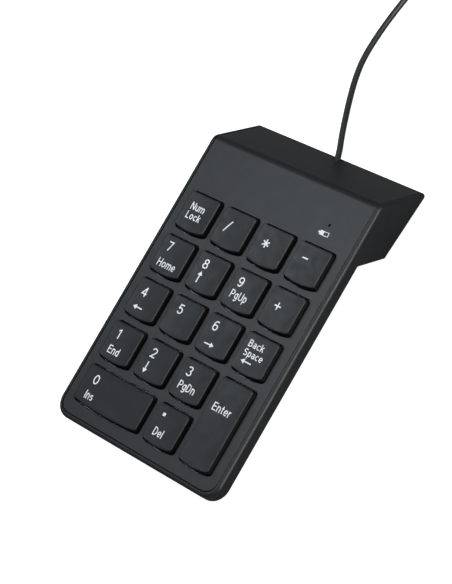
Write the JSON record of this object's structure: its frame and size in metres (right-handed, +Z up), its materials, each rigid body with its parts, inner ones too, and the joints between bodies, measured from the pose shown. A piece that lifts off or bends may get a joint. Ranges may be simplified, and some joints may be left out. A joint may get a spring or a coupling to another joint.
{
  "type": "numeric keypad",
  "caption": "Wired numeric keypad on a raised rear foot: separate sprung keys over rubber domes and contact sheets, with a coiled cable ending in a USB plug.",
  "frame": {"origin": "on the desk, under the middle of the housing's box, cable left out", "axes": "+Z up from the desk, +Y towards the rear where the cable leaves, +X to the right as the keys are read; the key deck leans forward about X"},
  "size_m": [0.1063, 0.2624, 0.0199],
  "materials": {
    "case_plastic": "fine-textured moulded housing plastic, satin",
    "cover_plastic": "fine-textured moulded cover plastic, satin",
    "key_plastic": "fine-textured key tops with white printed legends",
    "dome_silicone": "translucent silicone",
    "contact_film": "polyester film with printed silver tracks",
    "circuit_board": "solder-masked glass laminate",
    "chip_resin": "moulded epoxy",
    "clamp_plastic": "moulded bar",
    "screw_steel": "zinc-plated",
    "led_resin": "clear resin",
    "light_pipe_clear": "clear moulded rod",
    "foot_rubber": "matt rubber",
    "spring_wire": "drawn steel wire",
    "grommet_rubber": "moulded on the cable",
    "inner_wires": "shielded core bundle",
    "cable_jacket": "satin flexible jacket",
    "tie_plastic": "flat coated tie",
    "plug_grip": "moulded grip",
    "plug_shell": "nickel-plated sheet",
    "plug_tongue": "insulator"
  },
  "bodies": {
    "housing": {"bottom_case": "case_plastic", "top_cover": "cover_plastic", "dome_num_lock": "dome_silicone", "dome_divide": "dome_silicone", "dome_multiply": "dome_silicone", "dome_subtract": "dome_silicone", "dome_7": "dome_silicone", "dome_8": "dome_silicone", "dome_9": "dome_silicone", "dome_add": "dome_silicone", "dome_4": "dome_silicone", "dome_5": "dome_silicone", "dome_6": "dome_silicone", "dome_backspace": "dome_silicone", "dome_1": "dome_silicone", "dome_2": "dome_silicone", "dome_3": "dome_silicone", "dome_enter": "dome_silicone", "dome_0": "dome_silicone", "dome_decimal": "dome_silicone", "membrane_top": "contact_film", "membrane_spacer": "contact_film", "membrane_bottom": "contact_film", "controller_board": "circuit_board", "controller_chip": "chip_resin", "membrane_clamp": "clamp_plastic", "clamp_screws": "screw_steel", "case_screws": "screw_steel", "status_led": "led_resin", "light_pipe": "light_pipe_clear", "feet_front": "foot_rubber", "feet_rear": "foot_rubber", "cable_grommet": "grommet_rubber", "cable_leads": "inner_wires", "cable": "cable_jacket", "cable_coil": "cable_jacket", "cable_tie": "tie_plastic", "usb_plug_body": "plug_grip", "usb_plug_shell": "plug_shell", "usb_plug_tongue": "plug_tongue"},
    "key_num_lock": {"key_num_lock": "key_plastic"},
    "key_divide": {"key_divide": "key_plastic"},
    "key_multiply": {"key_multiply": "key_plastic"},
    "key_subtract": {"key_subtract": "key_plastic"},
    "key_7": {"key_7": "key_plastic"},
    "key_8": {"key_8": "key_plastic"},
    "key_9": {"key_9": "key_plastic"},
    "key_add": {"key_add": "key_plastic"},
    "key_4": {"key_4": "key_plastic"},
    "key_5": {"key_5": "key_plastic"},
    "key_6": {"key_6": "key_plastic"},
    "key_backspace": {"key_backspace": "key_plastic"},
    "key_1": {"key_1": "key_plastic"},
    "key_2": {"key_2": "key_plastic"},
    "key_3": {"key_3": "key_plastic"},
    "key_enter": {"key_enter": "key_plastic"},
    "key_0": {"key_0": "key_plastic"},
    "key_decimal": {"key_decimal": "key_plastic"},
    "wire_0": {"stabilizer_wire_0": "spring_wire"},
    "wire_enter": {"stabilizer_wire_enter": "spring_wire"}
  },
  "joints": [
    {"name": "press_num_lock", "type": "slide", "parent": "housing", "child": "key_num_lock", "axis": [0, 0.1045, -0.9945], "range_m": [0, 0.002], "stiffness_N_per_m": 200, "springref_m": -0.001, "deforming": ["dome_num_lock"]},
    {"name": "press_divide", "type": "slide", "parent": "housing", "child": "key_divide", "axis": [0, 0.1045, -0.9945], "range_m": [0, 0.002], "stiffness_N_per_m": 200, "springref_m": -0.001, "deforming": ["dome_divide"]},
    {"name": "press_multiply", "type": "slide", "parent": "housing", "child": "key_multiply", "axis": [0, 0.1045, -0.9945], "range_m": [0, 0.002], "stiffness_N_per_m": 200, "springref_m": -0.001, "deforming": ["dome_multiply"]},
    {"name": "press_subtract", "type": "slide", "parent": "housing", "child": "key_subtract", "axis": [0, 0.1045, -0.9945], "range_m": [0, 0.002], "stiffness_N_per_m": 200, "springref_m": -0.001, "deforming": ["dome_subtract"]},
    {"name": "press_7", "type": "slide", "parent": "housing", "child": "key_7", "axis": [0, 0.1045, -0.9945], "range_m": [0, 0.002], "stiffness_N_per_m": 200, "springref_m": -0.001, "deforming": ["dome_7"]},
    {"name": "press_8", "type": "slide", "parent": "housing", "child": "key_8", "axis": [0, 0.1045, -0.9945], "range_m": [0, 0.002], "stiffness_N_per_m": 200, "springref_m": -0.001, "deforming": ["dome_8"]},
    {"name": "press_9", "type": "slide", "parent": "housing", "child": "key_9", "axis": [0, 0.1045, -0.9945], "range_m": [0, 0.002], "stiffness_N_per_m": 200, "springref_m": -0.001, "deforming": ["dome_9"]},
    {"name": "press_add", "type": "slide", "parent": "housing", "child": "key_add", "axis": [0, 0.1045, -0.9945], "range_m": [0, 0.002], "stiffness_N_per_m": 200, "springref_m": -0.001, "deforming": ["dome_add"]},
    {"name": "press_4", "type": "slide", "parent": "housing", "child": "key_4", "axis": [0, 0.1045, -0.9945], "range_m": [0, 0.002], "stiffness_N_per_m": 200, "springref_m": -0.001, "deforming": ["dome_4"]},
    {"name": "press_5", "type": "slide", "parent": "housing", "child": "key_5", "axis": [0, 0.1045, -0.9945], "range_m": [0, 0.002], "stiffness_N_per_m": 200, "springref_m": -0.001, "deforming": ["dome_5"]},
    {"name": "press_6", "type": "slide", "parent": "housing", "child": "key_6", "axis": [0, 0.1045, -0.9945], "range_m": [0, 0.002], "stiffness_N_per_m": 200, "springref_m": -0.001, "deforming": ["dome_6"]},
    {"name": "press_backspace", "type": "slide", "parent": "housing", "child": "key_backspace", "axis": [0, 0.1045, -0.9945], "range_m": [0, 0.002], "stiffness_N_per_m": 200, "springref_m": -0.001, "deforming": ["dome_backspace"]},
    {"name": "press_1", "type": "slide", "parent": "housing", "child": "key_1", "axis": [0, 0.1045, -0.9945], "range_m": [0, 0.002], "stiffness_N_per_m": 200, "springref_m": -0.001, "deforming": ["dome_1"]},
    {"name": "press_2", "type": "slide", "parent": "housing", "child": "key_2", "axis": [0, 0.1045, -0.9945], "range_m": [0, 0.002], "stiffness_N_per_m": 200, "springref_m": -0.001, "deforming": ["dome_2"]},
    {"name": "press_3", "type": "slide", "parent": "housing", "child": "key_3", "axis": [0, 0.1045, -0.9945], "range_m": [0, 0.002], "stiffness_N_per_m": 200, "springref_m": -0.001, "deforming": ["dome_3"]},
    {"name": "press_enter", "type": "slide", "parent": "housing", "child": "key_enter", "axis": [0, 0.1045, -0.9945], "range_m": [0, 0.002], "stiffness_N_per_m": 200, "springref_m": -0.001, "deforming": ["dome_enter"]},
    {"name": "press_0", "type": "slide", "parent": "housing", "child": "key_0", "axis": [0, 0.1045, -0.9945], "range_m": [0, 0.002], "stiffness_N_per_m": 200, "springref_m": -0.001, "deforming": ["dome_0"]},
    {"name": "press_decimal", "type": "slide", "parent": "housing", "child": "key_decimal", "axis": [0, 0.1045, -0.9945], "range_m": [0, 0.002], "stiffness_N_per_m": 200, "springref_m": -0.001, "deforming": ["dome_decimal"]},
    {"name": "wire_0_swing", "type": "hinge", "parent": "housing", "child": "wire_0", "pos_m": [-0.019, -0.05607, 0.00608], "axis": [1, 0, 0], "range_deg": [-14.6, 0]},
    {"name": "wire_enter_swing", "type": "hinge", "parent": "housing", "child": "wire_enter", "pos_m": [0.0257, -0.04384, 0.00737], "axis": [0, 0.9945, 0.1045], "range_deg": [0, 14.6]}
  ],
  "couplings": [
    {"joint": "wire_0_swing", "follows": "press_0", "rad_per_m": -125.33},
    {"joint": "wire_enter_swing", "follows": "press_enter", "rad_per_m": 125.33}
  ]
}
